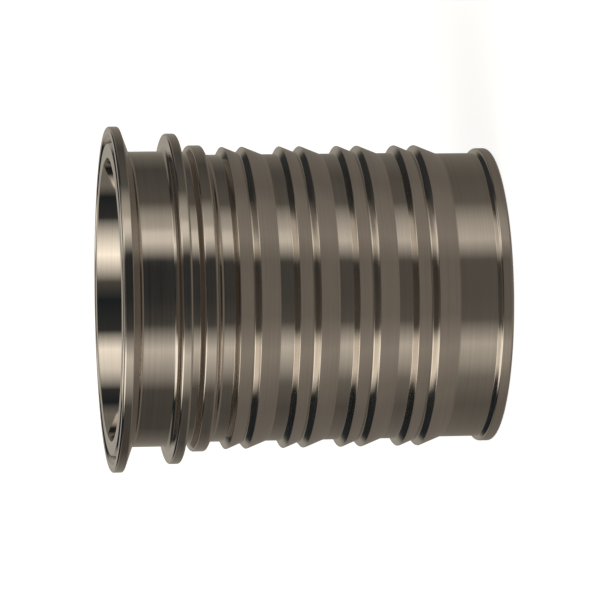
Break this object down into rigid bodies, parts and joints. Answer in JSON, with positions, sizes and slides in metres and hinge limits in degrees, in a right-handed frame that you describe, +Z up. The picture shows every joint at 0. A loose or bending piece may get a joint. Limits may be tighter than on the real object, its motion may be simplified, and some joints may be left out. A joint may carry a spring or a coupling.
{
  "type": "clamp hose stem",
  "caption": "Straight one-piece metal hose stem with a round clamp flange, a ferrule collar and slot, and paired hose barbs down to a plain tail.",
  "frame": {"origin": "centre of the tail end face, which the stem stands on", "axes": "+Z up the stem's axis, from the tail end to the flange face; the stem is the same all round, so X and Y have no feature of their own"},
  "size_m": [0.119, 0.1188, 0.1319],
  "materials": {
    "stainless_steel": "turned satin outside, polished bore"
  },
  "bodies": {
    "root": {"hose_stem": "stainless_steel"}
  },
  "joints": []
}
